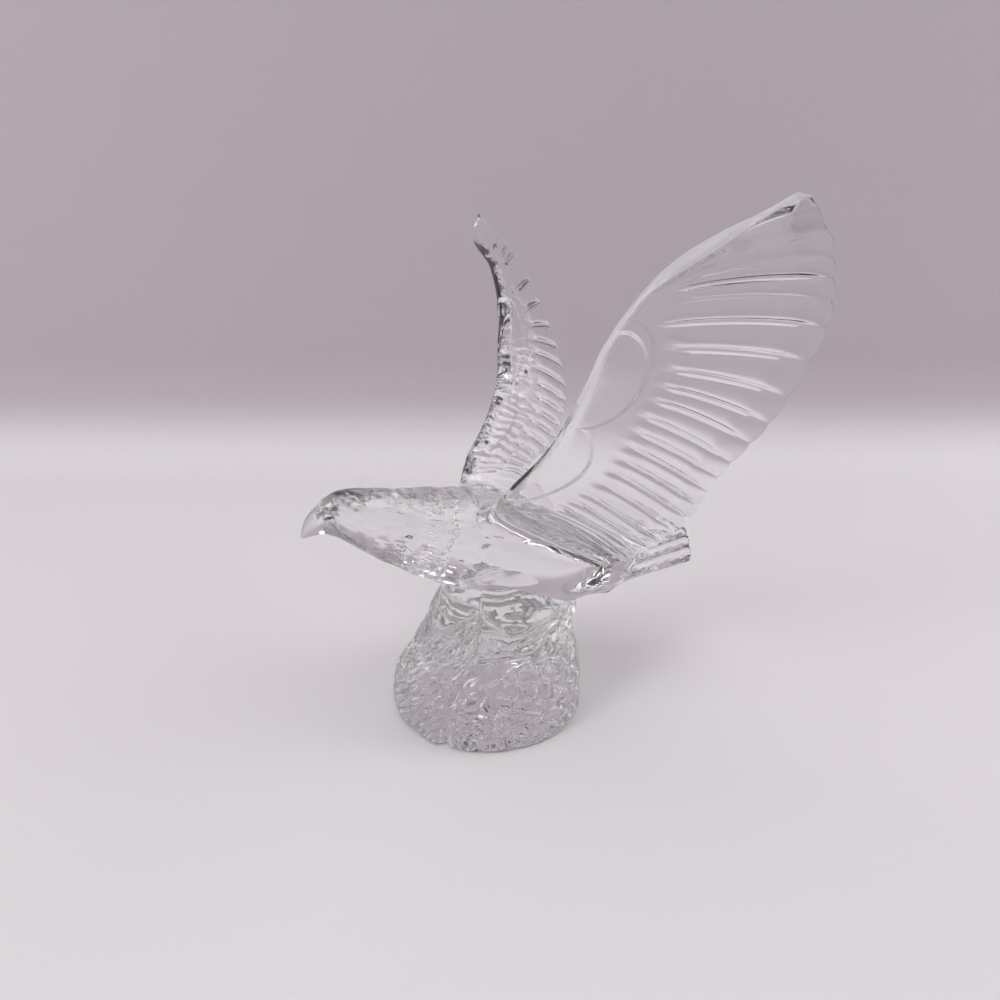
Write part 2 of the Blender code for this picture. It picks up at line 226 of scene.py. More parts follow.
class CrystalSizes(bpy.types.PropertyGroup):
    """Real sizes of the eagle, in metres unless a description says otherwise."""

    height: bpy.props.FloatProperty(
        name="Height",
        description="From the ground to the wing tips",
        default=0.1392,
        subtype="DISTANCE",
        unit="LENGTH",
    )
    wing_root_thickness: bpy.props.FloatProperty(
        name="Wing root thickness",
        description="Thickness of the leading edge where it leaves the body",
        default=0.0065,
        unit="LENGTH",
    )
    wing_tip_thickness: bpy.props.FloatProperty(
        name="Wing tip thickness",
        description="Thickness of the leading edge at the tip",
        default=0.0030,
        unit="LENGTH",
    )
    trailing_thickness: bpy.props.FloatProperty(
        name="Trailing edge thickness",
        description="Thickness of the wings where the flutes run out",
        default=0.0017,
        unit="LENGTH",
    )
    edge_taper: bpy.props.FloatProperty(
        name="Edge taper",
        description="How far in from the trailing edge the wings get thinner",
        default=0.0060,
        unit="LENGTH",
    )
    flute_depth: bpy.props.FloatProperty(
        name="Flute depth",
        description="Depth of the flutes in the outer face of a wing",
        default=0.0006,
        unit="LENGTH",
    )
    inner_flute_share: bpy.props.FloatProperty(
        name="Inner flute share",
        description="Depth of the flutes in the inner face, as a share of the outer ones",
        default=0.5,
        subtype="FACTOR",
        min=0,
        max=1,
    )
    covert_relief: bpy.props.FloatProperty(
        name="Covert relief",
        description="How far the smooth lobes on the leading edge stand up",
        default=0.0006,
        unit="LENGTH",
    )
    tail_width: bpy.props.FloatProperty(
        name="Tail width",
        description="Width across the end of the tail fan",
        default=0.0350,
        unit="LENGTH",
    )
    tail_length: bpy.props.FloatProperty(
        name="Tail length",
        description="Length of the tail fan at its sides, from its root in the body",
        default=0.0304,
        unit="LENGTH",
    )
    tail_root_thickness: bpy.props.FloatProperty(
        name="Tail root thickness",
        description="Thickness of the tail fan in the body",
        default=0.0085,
        unit="LENGTH",
    )
    tail_end_thickness: bpy.props.FloatProperty(
        name="Tail end thickness",
        description="Thickness of the tail fan at its end",
        default=0.0024,
        unit="LENGTH",
    )
    tail_feathers: bpy.props.IntProperty(
        name="Tail feathers",
        description="Number of feathers in the tail fan",
        default=7,
        min=3,
        max=15,
    )
    rock_width: bpy.props.FloatProperty(
        name="Rock width",
        description="Width of the rock's foot",
        default=0.0560,
        unit="LENGTH",
    )
    rock_length: bpy.props.FloatProperty(
        name="Rock length",
        description="Length of the rock's foot, front to back",
        default=0.0565,
        unit="LENGTH",
    )
    rock_height: bpy.props.FloatProperty(
        name="Rock height",
        description="Height at which the rock ends inside the belly",
        default=0.0420,
        unit="LENGTH",
    )
    rock_relief: bpy.props.FloatProperty(
        name="Rock relief",
        description="How far the rock's masses stand out",
        default=0.0014,
        unit="LENGTH",
    )
    fillet: bpy.props.FloatProperty(
        name="Fillet",
        description="Distance over which the joins between the forms are rounded",
        default=0.0026,
        unit="LENGTH",
    )


class CrystalFinish(bpy.types.PropertyGroup):
    """Colour and polish of the crystal."""

    tint: bpy.props.FloatVectorProperty(
        name="Tint",
        description="Colour that light takes in the crystal",
        default=(0.985, 0.985, 0.99),
        subtype="COLOR",
        size=3,
        min=0,
        max=1,
    )
    refraction: bpy.props.FloatProperty(
        name="Refractive index",
        description="Refractive index of lead crystal",
        default=1.55,
        min=1.3,
        max=1.8,
    )
    clearness: bpy.props.FloatProperty(
        name="Clearness",
        description="Share of the light that passes through; the rest is the faint haze of dust",
        default=0.98,
        subtype="FACTOR",
        min=0,
        max=1,
    )
    polish: bpy.props.FloatProperty(
        name="Polished roughness",
        description="Roughness of the fire-polished faces",
        default=0.015,
        subtype="FACTOR",
        min=0,
        max=1,
    )
    # Colour of the white shader: frost on the beak, and a painted highlight on the left wing's
    # satin band.
    frost_and_highlight_colour: bpy.props.FloatVectorProperty(
        name="Frost",
        description="Colour of the white part of the frost",
        default=(0.97, 0.95, 0.97),
        subtype="COLOR",
        size=3,
        min=0,
        max=1,
    )
    # Share of white where it is full: a painted highlight on the satin band, and frost at 0.3 of
    # it on the beak.
    frost_and_highlight_share: bpy.props.FloatProperty(
        name="Frost share",
        description="Share of the frost, where it is full, that looks white",
        default=0.72,
        subtype="FACTOR",
        min=0,
        max=1,
    )
    frost: bpy.props.FloatProperty(
        name="Frosted roughness",
        description="Roughness of the beak and the satin edge",
        default=0.32,
        subtype="FACTOR",
        min=0,
        max=1,
    )


class StudioLook(bpy.types.PropertyGroup):
    """The floor, the wall behind it, the lights and the camera."""

    floor_colour: bpy.props.FloatVectorProperty(
        name="Floor",
        description="Colour of the floor",
        default=(0.80, 0.77, 0.79),
        subtype="COLOR",
        size=3,
        min=0,
        max=1,
    )
    wall_colour: bpy.props.FloatVectorProperty(
        name="Wall",
        description="Colour of the wall behind",
        default=(0.53, 0.464, 0.515),
        subtype="COLOR",
        size=3,
        min=0,
        max=1,
    )
    wall_distance: bpy.props.FloatProperty(
        name="Wall distance",
        description="From the eagle back to where the floor turns up into the wall",
        default=0.205,
        unit="LENGTH",
    )
    world_grey: bpy.props.FloatProperty(
        name="Room light",
        description="Brightness of the room outside the studio",
        default=0.16,
        min=0,
    )
    lens: bpy.props.FloatProperty(
        name="Lens",
        description="Focal length of the camera, in millimetres",
        default=26.0,
        min=10,
        max=200,
    )
    camera_place: bpy.props.FloatVectorProperty(
        name="Camera",
        description="Where the camera stands",
        default=(0.17814, -0.06053, 0.13291),
        subtype="TRANSLATION",
        unit="LENGTH",
        size=3,
    )
    camera_aim: bpy.props.FloatVectorProperty(
        name="Aim",
        description="The point that the camera looks at",
        default=(0.0, 0.0036, 0.0625),
        subtype="TRANSLATION",
        unit="LENGTH",
        size=3,
    )


class Socket:
    """A shader value that can be added, subtracted and multiplied like a number."""

    def __init__(self, tree, link):
        self.tree = tree
        self.link = link

    def math(self, operation, *values):
        """A Math node on this value and the others, in the order given."""
        return self.tree.add("ShaderNodeMath", {"operation": operation}, dict(enumerate(values)))

    def __add__(self, other):
        return self.math("ADD", self, other)

    __radd__ = __add__

    def __mul__(self, other):
        return self.math("MULTIPLY", self, other)

    __rmul__ = __mul__

    def __sub__(self, other):
        return self.math("SUBTRACT", self, other)

    def __rsub__(self, other):
        return self.math("SUBTRACT", other, self)


class Material:
    """A node material: its Principled shader and the nodes added in front of it."""

    def __init__(self, name):
        self.data = bpy.data.materials.new(name)
        self.data.use_nodes = True
        self.nodes = self.data.node_tree.nodes
        self.links = self.data.node_tree.links
        self.shader = self.nodes["Principled BSDF"]

    def add(self, kind, settings=None, inputs=None, output=0):
        """Adds a node: its settings first, then the values or links of its sockets."""
        node = self.nodes.new(kind)
        for key, value in (settings or {}).items():
            setattr(node, key, value)
        for key, value in (inputs or {}).items():
            self.put(node.inputs[key], value)
        return Socket(self, node.outputs[output])

    def put(self, socket, value):
        """Links a Socket to an input, or sets the input's own value."""
        if isinstance(value, Socket):
            self.links.new(value.link, socket)
        else:
            socket.default_value = value

    def set(self, **values):
        """Sets or links the Principled shader's sockets, named with underscores for spaces."""
        for key, value in values.items():
            self.put(self.shader.inputs[key.replace("_", " ")], value)

    def place(self):
        """Object coordinates."""
        return self.add("ShaderNodeTexCoord", output="Object")

    def between(self, value, low, high):
        """0 where the value is under low, 1 over high, with a smooth rise between."""
        inputs = {"Value": value, "From Min": low, "From Max": high}
        return self.add("ShaderNodeMapRange", {"interpolation_type": "SMOOTHSTEP"}, inputs)

    def mix(self, factor, first, second):
        """A colour between two others."""
        inputs = {"Factor": factor, 6: (*first, 1), 7: (*second, 1)}
        return self.add("ShaderNodeMix", {"data_type": "RGBA"}, inputs, output=2)


def smooth_curve(rows, at):
    """Catmull-Rom curve through the rows, spaced evenly over 0 to 1, read at each value."""
    rows = np.asarray(rows, float)
    padded = np.vstack([2 * rows[0] - rows[1], rows, 2 * rows[-1] - rows[-2]])
    place = np.clip(np.asarray(at, float), 0, 1) * (len(rows) - 1)
    first = np.minimum(place.astype(int), len(rows) - 2)
    t = (place - first)[..., None]
    a, b, c, d = (padded[first + step] for step in range(4))
    return b + t / 2 * (c - a + t * (2 * a - 5 * b + 4 * c - d + t * (3 * (b - c) + d - a)))


def curve_over(rows, at):
    """smooth_curve read by the rows' first column, which rises and needn't be even."""
    rows = np.asarray(rows, float)
    share = np.interp(at, rows[:, 0], np.linspace(0, 1, len(rows)))
    return smooth_curve(rows[:, 1:], share)


def smooth_step(value):
    """0 below 0, 1 above 1, and 3t^2 - 2t^3 between."""
    t = np.clip(value, 0, 1)
    return t * t * (3 - 2 * t)


def soft_noise(first, second, seed):
    """Smooth noise from -1 to 1 on a plane: gradients on a square lattice, blended by
    smooth_step between its corners. The lattice is seeded and repeats every 64 cells."""
    turns = np.random.default_rng(seed).uniform(0, 2 * np.pi, (64, 64))
    cell_a, cell_b = np.floor(first).astype(int), np.floor(second).astype(int)
    part_a, part_b = first - cell_a, second - cell_b
    corners = []
    for step_a in (0, 1):
        for step_b in (0, 1):
            turn = turns[(cell_a + step_a) % 64, (cell_b + step_b) % 64]
            slope = np.cos(turn) * (part_a - step_a) + np.sin(turn) * (part_b - step_b)
            corners.append(slope)
    rise_a, rise_b = smooth_step(part_a), smooth_step(part_b)
    low = corners[0] + (corners[1] - corners[0]) * rise_b
    high = corners[2] + (corners[3] - corners[2]) * rise_b
    return 1.6 * (low + (high - low) * rise_a)


def cell_border(first, second, seed):
    """0 on the borders of an irregular net of cells, and up to about 1 within them: by how
    much the second nearest of a set of points is further away than the nearest. The points
    are one to a unit square of the plane, moved about in it at random, and seeded."""
    shift = np.random.default_rng(seed).uniform(0.1, 0.9, (2, 64, 64))
    cell_a, cell_b = np.floor(first).astype(int), np.floor(second).astype(int)
    away = []
    for step_a in (-1, 0, 1):
        for step_b in (-1, 0, 1):
            at = (cell_a + step_a) % 64, (cell_b + step_b) % 64
            point_a = cell_a + step_a + shift[0][at]
            point_b = cell_b + step_b + shift[1][at]
            away.append(np.hypot(first - point_a, second - point_b))
    away = np.sort(away, axis=0)
    return away[1] - away[0]


def between_lines(lines, counts):
    """Places across a form that follow its key lines: each gap between two neighbouring
    lines is cut into that many equal steps."""
    parts = [lines[0][:, None]]
    for low, high, count in zip(lines[:-1], lines[1:], counts):
        share = np.arange(1, count + 1) / count
        parts.append(low[:, None] + (high - low)[:, None] * share)
    return np.concatenate(parts, axis=1)


def quarter_circle(value):
    """The height of a quarter circle of radius 1, from 0 at 0 to 1 at 1 and beyond."""
    return np.sqrt(1 - (1 - np.clip(value, 0, 1)) ** 2)


def covert_edge(along):
    """Share of the chord that the covert lobes cover: the largest of their half ellipses."""
    edge = np.full_like(along, PLAIN_EDGE)
    for centre, half, reach in COVERT_LOBES:
        round_part = np.clip(1 - ((along - centre) / half) ** 2, 0, 1)
        edge = np.maximum(edge, reach * np.sqrt(round_part))
    return edge


def body_distance(sizes, points):
    """How far points lie from the body's surface, under 0 inside: measured from the middle
    of the body's section at the same y, along the line through the point."""
    share = np.linspace(0, 1, 400)
    rows = smooth_curve(BODY_SECTIONS, share) * sizes.height
    y, top, underside, half_width, widest = rows.T
    waist = underside + widest / sizes.height * (top - underside)
    top, underside, half_width, waist = (
        np.interp(points[..., 1], y, row) for row in (top, underside, half_width, waist)
    )
    up = points[..., 2] - waist
    reach = np.where(up > 0, top - waist, waist - underside)
    sideways = np.abs(points[..., 0] / half_width) ** BODY_SQUARENESS
    scale = (sideways + np.abs(up / reach) ** BODY_SQUARENESS) ** (1 / BODY_SQUARENESS)
    return np.hypot(points[..., 0], up) * (1 - 1 / np.maximum(scale, 1e-6))


def fillet_swell(distance, fillet):
    """How far a surface swells towards the body: a parabola over 1.7 times the fillet
    outside it, and falling away again inside."""
    outside = np.clip(1 - distance / (1.7 * fillet), 0, 1) ** 2
    inside = 1 - smooth_step(-distance / (1.3 * fillet))
    return fillet * np.where(distance > 0, outside, inside)


def inner_coverts(along, across, length):
    """Relief of the small feathers on a wing's inner face, as a share of their height. They
    lie in a band along the leading edge. Near the root they are ripples, sines along the
    wing bent by noise, then come large facets and last small scales, which are irregular
    nets of cells. A smooth groove parts the band from a rail on the leading edge, which has
    short breaks."""
    out = along * WING_REACH
    back = across * length
    reach = np.interp(along, [0, 0.3, 0.5, 0.8], [0.31, 0.36, 0.40, 0.42])
    reach = reach + 0.02 * soft_noise(out / 0.0022, 0 * out, 34)
    band = smooth_step((reach - across) / 0.03)
    bend = soft_noise(back / 0.0050, out / 0.0050, 31)
    low = smooth_step((along - 0.05) / 0.02) * smooth_step((0.31 - along) / 0.04)
    ripples = 0.35 * np.sin(2 * np.pi * out / 0.0020 + 2.4 * bend)
    middle = smooth_step((along - 0.27) / 0.04) * smooth_step((0.50 - along) / 0.05)
    facets = 1.3 * smooth_step(cell_border(back / 0.0040, out / 0.0028, 32) / 0.6) - 0.3
    high = smooth_step((along - 0.47) / 0.06) * smooth_step((0.80 - along) / 0.08)
    scales = 0.45 * smooth_step(cell_border(back / 0.0020, out / 0.0019, 33) / 0.5)
    inland = smooth_step((across - 0.10) / 0.04)
    form = band * (low * ripples + inland * (middle * facets + high * scales))
    on_rail = smooth_step((along - 0.26) / 0.03) * smooth_step((0.78 - along) / 0.03)
    breaks = smooth_step(np.abs(np.sin(np.pi * out / 0.0085 + bend)) / 0.25)
    return form + 0.5 * on_rail * breaks * smooth_step((0.085 - across) / 0.02)


def wing_rings(sizes, carving):
    """Closed sections of the left wing, which follow the ridges between the flutes. The
    middle surface is a straight chord from the leading to the trailing edge plus a parabola
    of camber. Half the thickness rises as a quarter circle from the leading edge and from the
    tip, falls evenly along the chord, tapers over the last stretch before the trailing edge,
    gets less where the chord is short, and swells where it meets the body.
    On the outer face the covert lobes stand up behind a step. Each flute is flat across
    between narrow ridges. It begins in a point, widens and sinks in slowly, and is open at
    the trailing edge. The carving says how high the coverts stand up on the inner face, as a
    share of the covert relief. All relief fades out where the wing meets the body. Beside x,
    y and z each point has how far it is satin: a band along the outer part of the leading edge
    and round the tip, which a wing with coverts on its inner face doesn't have. The band is
    rough, and white is mixed into its colour there as a painted highlight on the rim."""
    ridges = np.array(FLUTE_RIDGES)[:, :2]
    height = np.array(FLUTE_RIDGES)[:, 2]
    last = len(ridges) - 1
    steps = np.array([0, 0.045, 0.09, 0.14, 0.21, 0.34, 0.50, 0.66, 0.79, 0.86, 0.91, 0.955])
    order = np.append(np.add.outer(np.arange(last), steps).ravel(), last)
    fluted = np.stack([np.interp(order, np.arange(last + 1), row) for row in ridges.T], axis=1)
    root = ridges[0] * np.linspace(0, 1, 17)[:-1, None]
    tip = 1 + (ridges[-1] - 1) * np.linspace(1, 0, 20)[1:, None] ** 1.5
    ends = np.concatenate([root, fluted, tip])
    phase = np.concatenate([np.full(len(root), -1.0), order, np.full(len(tip), -1.0)])[:, None]

    lobe = covert_edge(ends[:, 0])
    full = sizes.wing_root_thickness
    full = full + (sizes.wing_tip_thickness - full) * ends[:, :1] ** 0.6
    rough = smooth_curve(np.array(WING_CHORDS) * sizes.height, ends.mean(1))
    length = np.linalg.norm(rough[:, 3:] - rough[:, :3], axis=1)
    nose = np.minimum(0.7 * full[:, 0] / length, 0.3)
    edge = 1 - np.minimum(sizes.edge_taper / length, 0.3)
    ledge = np.maximum(lobe, nose + 0.05)
    begin = np.maximum(curve_over(FLUTE_STARTS, ends[:, 0])[:, 0], ledge + 0.05)
    zero = np.zeros_like(begin)
    lines = [zero, nose / 16, nose / 4, nose, ledge - 0.02, ledge + 0.03, begin, begin + 0.2]
    lines += [np.maximum(edge, begin + 0.22), zero + 1]
    across = between_lines(lines, (2, 3, 4, 4, 5, 2, 7, 8, 8))
    along = ends[:, :1] + (ends[:, 1:] - ends[:, :1]) * across**1.5
    chords = smooth_curve(np.array(WING_CHORDS) * sizes.height, along)
    leading, trailing = chords[..., :3], chords[..., 3:]
    chord = trailing - leading
    length = np.linalg.norm(chord, axis=2)
    camber = WING_CAMBER * length * 4 * across * (1 - across)
    straight = leading + chord * across[..., None]
    upper = np.cross(np.gradient(straight, axis=0), chord)
    upper /= np.linalg.norm(upper, axis=2, keepdims=True)
    middle = straight + upper * camber[..., None]

    rise = quarter_circle(across / nose[:, None])
    rise = rise * (0.15 + 0.85 * np.clip((1 - across) / (1 - edge[:, None]), 0, 1) ** 0.9)
    rise = rise * quarter_circle(0.02 + (1 - along) / 0.016)
    half = 0.5 * (full + (sizes.trailing_thickness - full) * across)
    half = half * np.minimum(1, length / 0.015) ** 0.8
    swell = fillet_swell(body_distance(sizes, middle), sizes.fillet)
    clear = 1 - 0.9 * swell / sizes.fillet
    flare = swell * (1 - smooth_step(across / 0.15))
    middle -= flare[..., None] * chord / length[..., None]
    half = rise * (half + swell)

    raised = smooth_step(lobe / PLAIN_EDGE - 1)[:, None]
    past = (across - lobe[:, None]) * length
    dome = 0.6 + 0.4 * np.clip(across / np.maximum(lobe[:, None], 0.01), 0, 1)
    lobes = clear * rise * raised * dome * sizes.covert_relief * smooth_step(0.5 - past / 0.0009)
    from_floor = np.where(phase < 0, 1, 2 * np.abs(phase - np.floor(phase) - 0.5))
    ridge = np.where(phase < 0, 1, height[np.round(phase).astype(int)])
    ridge = 1 + (ridge - 1) * np.minimum(1, 4 * (phase >= 0) * np.minimum(phase, last - phase))
    sunk = smooth_step((across - begin[:, None]) / 0.20)
    wide = np.sqrt(np.clip((across - begin[:, None]) / 0.13, 1e-6, 1))
    floor = 1 - ridge * np.minimum(from_floor / wide, 1) ** 4
    flute = clear * rise * sizes.flute_depth * sunk**0.6 * floor
    coverts = clear * rise * carving * sizes.covert_relief * inner_coverts(along, across, length)

    run_out = smooth_step((across - 0.9) / 0.1) * np.clip(1 - from_floor**2, 0, 1)
    middle += (0.0006 * run_out)[..., None] * chord / length[..., None]
    outer = middle - upper * (half + lobes - flute)[..., None]
    inner = middle + upper * (half + coverts - sizes.inner_flute_share * flute)[..., None]
    # The satin band: rough, and with white mixed into its colour as a painted highlight on the
    # rim.
    satin_and_highlight = 1 - smooth_step((across * length - SATIN_HIGHLIGHT_WIDTH) / SATIN_HIGHLIGHT_FADE)
    satin_and_highlight *= smooth_step((along - 0.30) / 0.16)
    from_tip = (1 - along) * WING_REACH
    satin_and_highlight = np.maximum(satin_and_highlight, 1 - smooth_step((from_tip - SATIN_HIGHLIGHT_TIP_WIDTH) / SATIN_HIGHLIGHT_TIP_FADE))
    satin_and_highlight *= 1 - carving
    outer = np.concatenate([outer, satin_and_highlight[..., None]], axis=2)
    inner = np.concatenate([inner, satin_and_highlight[..., None]], axis=2)
    return np.concatenate([outer, inner[:, :0:-1]], axis=1)


def body_rings(sizes):
    """Vertical sections of the head, neck, back and belly: superellipses whose upper and
    lower halves differ, moved outwards by the relief of the head and neck."""
    share = np.interp(np.linspace(0, 1, 170), [0, 0.22, 0.76, 1], [0, 0.385, 0.67, 1])
    y, top, underside, half_width, widest = smooth_curve(BODY_SECTIONS, share).T
    turn = 2 * np.pi * np.arange(128) / 128
    power = 2 / BODY_SQUARENESS
    out = np.sign(np.cos(turn)) * np.abs(np.cos(turn)) ** power
    up = np.sign(np.sin(turn)) * np.abs(np.sin(turn)) ** power
    waist = underside + widest * (top - underside)
    reach = np.where(up > 0, (top - waist)[:, None], (waist - underside)[:, None])
    x = sizes.height * half_width[:, None] * out
    z = sizes.height * (waist[:, None] + reach * up)
    y = np.broadcast_to(sizes.height * y[:, None], x.shape)
    rings = np.stack([x, y, z], axis=2)
    around = np.roll(rings, -1, axis=1) - np.roll(rings, 1, axis=1)
    outward = np.cross(around, np.gradient(rings, axis=0))
    outward /= np.maximum(np.linalg.norm(outward, axis=2, keepdims=True), 1e-12)
    relief = head_relief(x, y, z)
    relief *= np.minimum(1, half_width * sizes.height / 0.004)[:, None]
    return rings + outward * relief[..., None]


def head_relief(x, y, z):
    """Outward relief of the head and neck: a small eye, a groove behind the beak, a cheek
    that stands out over the throat, and a cape of neck feathers. The feathers are an
    irregular net of cells drawn out along the neck, with folded noise on them, and the cape
    ends in a ragged step."""
    side = np.abs(x)
    down = z + 0.30 * y
    net = smooth_step(cell_border(y / 0.0080 + 40, down / 0.0024 + 40, 11) / 0.60)
    folds = 0.6 - 1.2 * np.abs(soft_noise(y / 0.0110, down / 0.0014, 12))
    ragged = 0.0026 * soft_noise(down / 0.0034, 0 * down, 13)
    cape_edge = -0.0020 - 0.5 * np.abs(z - 0.0600) + ragged
    on_neck = smooth_step((y + 0.041) / 0.018)
    cape = on_neck * smooth_step((cape_edge - y) / 0.0016)
    relief = cape * (0.00034 + 0.00032 * net + 0.00034 * folds)
    eye = np.hypot(y + 0.0367, z - 0.0647)
    outer = smooth_step((side - 0.0015) / 0.003)
    relief += outer * 0.0003 * np.sqrt(np.clip(1 - (eye / 0.0010) ** 2, 0, 1))
    cheek_line = 0.0622 - 0.38 * (y + 0.0389)
    on_cheek = smooth_step((y + 0.0465) / 0.003) * smooth_step((-0.0290 - y) / 0.006)
    on_cheek = on_cheek * smooth_step((cheek_line + 0.006 - z) / 0.004)
    relief += outer * 0.0003 * on_cheek * smooth_step((z - cheek_line) / 0.0014)
    cere = y + 0.0462 - 0.35 * (z - 0.0640)
    relief -= 0.00015 * np.exp(-((cere / 0.0004) ** 2))
    return relief


def tail_rings(sizes):
    """Sections of the tail fan side by side. Each goes out along the top and back along the
    underside. A feather's face is a low arch across it with fine barb lines, a groove parts
    it from the next, and its end is a half ellipse."""
    count = sizes.tail_feathers * 12 + 1
    side = np.linspace(-1, 1, count)[:, None]
    out = np.linspace(0, 1, 34)[None, :]
    phase = (np.arange(count)[:, None] % 12) / 12
    from_middle = np.abs(2 * phase - 1)
    share = TAIL_ROOT_WIDTH_SHARE
    x = 0.5 * side * sizes.tail_width * (share + (1 - share) * out)
    bulge = TAIL_END_BULGE * sizes.height * (1 - np.abs(side) ** 1.5)
    rounding = 0.0007 * from_middle**2.5
    y = TAIL_ROOT_Y * sizes.height + (sizes.tail_length + bulge - rounding) * out
    middle = TAIL_ROOT_Z + (TAIL_END_Z - TAIL_ROOT_Z) * out - TAIL_DROOP * side**2
    taper = sizes.tail_end_thickness - sizes.tail_root_thickness
    thick = (sizes.tail_root_thickness + taper * out**0.7) * (1 - 0.35 * side**2)
    barbs = 0.00008 * np.sin(2 * np.pi * (26 * out + 2.2 * from_middle))
    groove = 0.00050 * from_middle**4 - barbs * (1 - from_middle**4)
    half = 0.5 * thick - groove * smooth_step(2 * out)
    place = np.stack([x, y + 0 * x, sizes.height * middle + 0 * x], axis=2)
    half = half + fillet_swell(body_distance(sizes, place), 0.7 * sizes.fillet)
    top = np.stack([x, y, sizes.height * middle + half], axis=2)
    underside = np.stack([x, y, sizes.height * middle - half], axis=2)
    return np.concatenate([top, underside[:, ::-1]], axis=1)


def rock_relief(bearing, level):
    """How far the rock stands out, as a share of its relief, the same on both sides.

    The bearing runs from -1 at the front to 1 at the back. Four forms meet: a mass of
    slanting blades at the front, a mass of pebbles under a ridge that sweeps up to the back,
    the smooth thigh over both, and a smooth channel between them with two thin grooves. Two
    leaf-shaped lumps lie on the channel. The blades and pebbles are irregular nets of cells,
    drawn out along the slant or level."""
    ridge = curve_over(RIDGE_LINE, bearing)[..., 0]
    thigh_edge = curve_over(THIGH_LINE, bearing)[..., 0]
    blade_top = curve_over(BLADE_TOP, bearing)[..., 0]
    blade_side = curve_over(BLADE_SIDE, level)[..., 0]
    below = smooth_step((ridge - level) / 0.05) * smooth_step((bearing - blade_side) / 0.06)
    blades = smooth_step((blade_side - bearing) / 0.05) * smooth_step((blade_top - level) / 0.05)
    thigh = smooth_step((level - thigh_edge) / 0.06)

    slant, reach = level - 0.8 * bearing, bearing + 0.8 * level
    blade_net = cell_border(slant / 0.062, reach / 0.32, 21)
    blade_net = 0.6 * smooth_step(blade_net / 0.20) + 0.4 * quarter_circle(blade_net / 0.8)
    blade_wave = 0.5 + 0.5 * np.sin(2 * np.pi * 3.4 * slant + 3 * reach)
    pebble_net = cell_border(level / 0.085 + bearing, bearing / 0.15, 23)
    pebble_net = 0.6 * smooth_step(pebble_net / 0.18) + 0.4 * quarter_circle(pebble_net / 0.8)
    pebble_wave = 0.5 + 0.5 * soft_noise(5 * bearing, 6 * level, 24)
    form = blades * (0.1 + 0.9 * blade_net + 0.45 * blade_wave)
    form = np.maximum(form, below * (0.1 + 1.0 * pebble_net + 0.35 * pebble_wave))
    form = np.maximum(form, 0.75 * thigh)
    form += 0.35 * np.exp(-(((level - ridge) / 0.018) ** 2)) * (bearing > -0.5)
    form += 0.25 * soft_noise(4 * bearing, 7 * level, 27)
    for middle, height, half_length in ((0.26, 0.665, 0.20), (0.16, 0.598, 0.14)):
        along = bearing - middle
        off = (level - height - 0.14 * along) / 0.026
        form += 0.6 * np.sqrt(np.clip(1 - (along / half_length) ** 2 - off**2, 0, 1))
    for from_b, to_b, from_l, to_l in ((-0.27, -0.20, 0.69, 0.61), (-0.14, -0.02, 0.66, 0.56)):
        share = np.clip((bearing - from_b) / (to_b - from_b), 0, 1)
        off = np.hypot(bearing - from_b - share * (to_b - from_b),
                       level - from_l - share * (to_l - from_l))
        form -= 0.8 * np.exp(-((off / 0.009) ** 2))
    return form


def rock_rings(sizes):
    """Level rings of the rock: half ellipses of the ring table, less the relief's full
    height, plus the relief at that bearing and level. The foot has a small bevel."""
    level = np.concatenate([[0.0, 0.008], np.linspace(0.016, 0.90, 104), [0.94, 1.0]])
    front, back, half_width = curve_over(ROCK_RINGS, level).T
    turn = 2 * np.pi * np.arange(276) / 276
    x, y = np.cos(turn), np.sin(turn)
    bearing = np.arctan2(y, np.abs(x)) / (np.pi / 2)
    relief = np.clip(rock_relief(bearing[None, :], level[:, None]), 0, 1.45)
    relief *= sizes.rock_relief * smooth_step((1 - level) / 0.15)[:, None]
    inset = np.interp(level, [0, 0.008, 0.03], [0.0008, 0.0003, 0])[:, None]
    reach_y = sizes.rock_length * np.where(y < 0, front[:, None], back[:, None])
    reach_x = sizes.rock_width * half_width[:, None]
    drop = sizes.rock_relief + inset - relief
    z = np.broadcast_to(sizes.rock_height * level[:, None], reach_y.shape)
    return np.stack([(reach_x - drop) * x, (reach_y - drop) * y, z], axis=2)


def closed_mesh(name, rings):
    """Mesh object skinned over rings of points, with a fan to the middle of each end ring. A
    point's fourth value, where it has one, says how far it is satin: rough, and with a
    painted highlight."""
    count, sides = rings.shape[:2]
    satin_and_highlight = np.append(rings[..., 3:].sum(2), [0, 0])
    points = rings[..., :3].reshape(-1, 3)
    ends = np.stack([rings[0, :, :3].mean(0), rings[-1, :, :3].mean(0)])
    side = np.arange(sides)
    after = np.roll(side, -1)
    low = (np.arange(count - 1) * sides)[:, None]
    quads = np.stack([low + side, low + after, low + sides + after, low + sides + side], axis=2)
    last = (count - 1) * sides
    first_fan = np.stack([np.full(sides, len(points)), after, side], axis=1)
    last_fan = np.stack([np.full(sides, len(points) + 1), last + side, last + after], axis=1)
    faces = quads.reshape(-1, 4).tolist() + first_fan.tolist() + last_fan.tolist()
    mesh = bpy.data.meshes.new(name)
    mesh.from_pydata(np.vstack([points, ends]), [], faces)
    mesh.update()
    if signed_volume(mesh) < 0:
        mesh.flip_normals()
    # How far each point is in the satin band, which is rough and carries a painted highlight.
    mesh.attributes.new("satin_and_highlight", "FLOAT", "POINT").data.foreach_set("value", satin_and_highlight)
    made = bpy.data.objects.new(name, mesh)
    bpy.context.scene.collection.objects.link(made)
    return made


def signed_volume(mesh):
    """Volume inside a closed mesh: a sixth of the sum of its triangles' triple products."""
    mesh.calc_loop_triangles()
    corners = np.empty(len(mesh.loop_triangles) * 3, int)
    mesh.loop_triangles.foreach_get("vertices", corners)
    points = np.empty(len(mesh.vertices) * 3)
    mesh.vertices.foreach_get("co", points)
    a, b, c = points.reshape(-1, 3)[corners].reshape(-1, 3, 3).transpose(1, 0, 2)
    return np.einsum("ij,ij->", a, np.cross(b, c)) / 6


